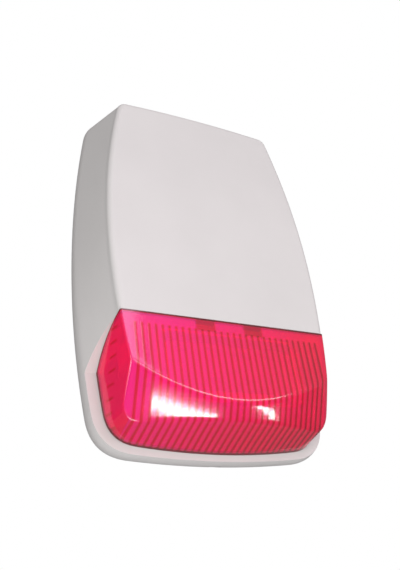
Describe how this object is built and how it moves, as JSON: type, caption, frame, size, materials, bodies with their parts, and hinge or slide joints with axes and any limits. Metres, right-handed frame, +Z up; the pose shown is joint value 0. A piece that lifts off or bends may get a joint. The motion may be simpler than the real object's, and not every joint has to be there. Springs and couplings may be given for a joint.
{
  "type": "outdoor alarm siren",
  "caption": "Wall-mounted outdoor alarm siren: white tapered cover hooked over a base, coloured strobe lens in its lower front, horn, battery and circuit board inside.",
  "frame": {"origin": "centre of the flat back of the base, on the wall", "axes": "+X to the right seen from the front, +Y into the wall, +Z up; the front faces -Y"},
  "size_m": [0.204, 0.058, 0.3],
  "materials": {
    "white_abs": "satin moulded ABS",
    "red_lens": "clear coloured polycarbonate",
    "grey_plastic": "moulded nylon",
    "steel": "zinc plated steel",
    "black_plastic": "satin moulded ABS",
    "board_green": "solder resist",
    "silver_reflector": "metallised plastic",
    "led_clear": "clear epoxy",
    "lead_red": "PVC",
    "lead_black": "PVC",
    "rubber": "matt",
    "vial": "clear acrylic",
    "capacitor_blue": "shrink sleeve"
  },
  "bodies": {
    "base": {"rear_base": "white_abs", "hinge_pin_left": "steel", "hinge_pin_right": "steel", "cable_grommet": "rubber", "level_vial": "vial", "wall_tamper_block": "white_abs", "main_board": "board_green", "board_screw_1": "steel", "board_screw_2": "steel", "board_screw_3": "steel", "board_screw_4": "steel", "terminal_block": "grey_plastic", "relay": "black_plastic", "control_chip": "black_plastic", "capacitor_1": "capacitor_blue", "capacitor_2": "capacitor_blue", "jumper_block": "black_plastic", "battery": "black_plastic", "battery_bracket": "steel", "bracket_screw_1": "steel", "bracket_screw_2": "steel", "horn": "black_plastic", "horn_driver": "black_plastic", "horn_screw_1": "steel", "horn_screw_2": "steel", "horn_screw_3": "steel", "strobe_housing": "silver_reflector", "strobe_board": "white_abs", "led_1": "led_clear", "led_2": "led_clear", "led_3": "led_clear", "led_4": "led_clear", "led_5": "led_clear", "led_6": "led_clear", "led_7": "led_clear", "led_8": "led_clear", "strobe_screw_1": "steel", "strobe_screw_2": "steel", "lead_socket": "white_abs", "battery_lead_red": "lead_red", "battery_lead_black": "lead_black", "horn_lead": "lead_black", "strobe_lead": "lead_red", "tamper_switch": "black_plastic"},
    "cover": {"cover_shell": "white_abs", "lens": "red_lens"},
    "cover_screw": {"cover_screw": "steel"},
    "screw_cap": {"screw_cap": "white_abs"},
    "tamper_lever": {"tamper_lever": "steel"}
  },
  "joints": [
    {"name": "cover_swing", "type": "hinge", "parent": "base", "child": "cover", "pos_m": [0, -0.013, 0.141], "axis": [-1, 0, 0], "range_deg": [0, 30]},
    {"name": "cover_screw_travel", "type": "slide", "parent": "cover", "child": "cover_screw", "axis": [0, 0, -1], "range_m": [0, 0.014]},
    {"name": "screw_cap_pull", "type": "slide", "parent": "cover_screw", "child": "screw_cap", "axis": [0, 0, -1], "range_m": [0, 0.01]},
    {"name": "tamper_lever_swing", "type": "hinge", "parent": "base", "child": "tamper_lever", "pos_m": [0.064, -0.0195, 0.041], "axis": [1, 0, 0], "range_deg": [0, 12]}
  ],
  "couplings": [
    {"joint": "tamper_lever_swing", "follows": "cover_swing", "ratio": 0.4}
  ]
}
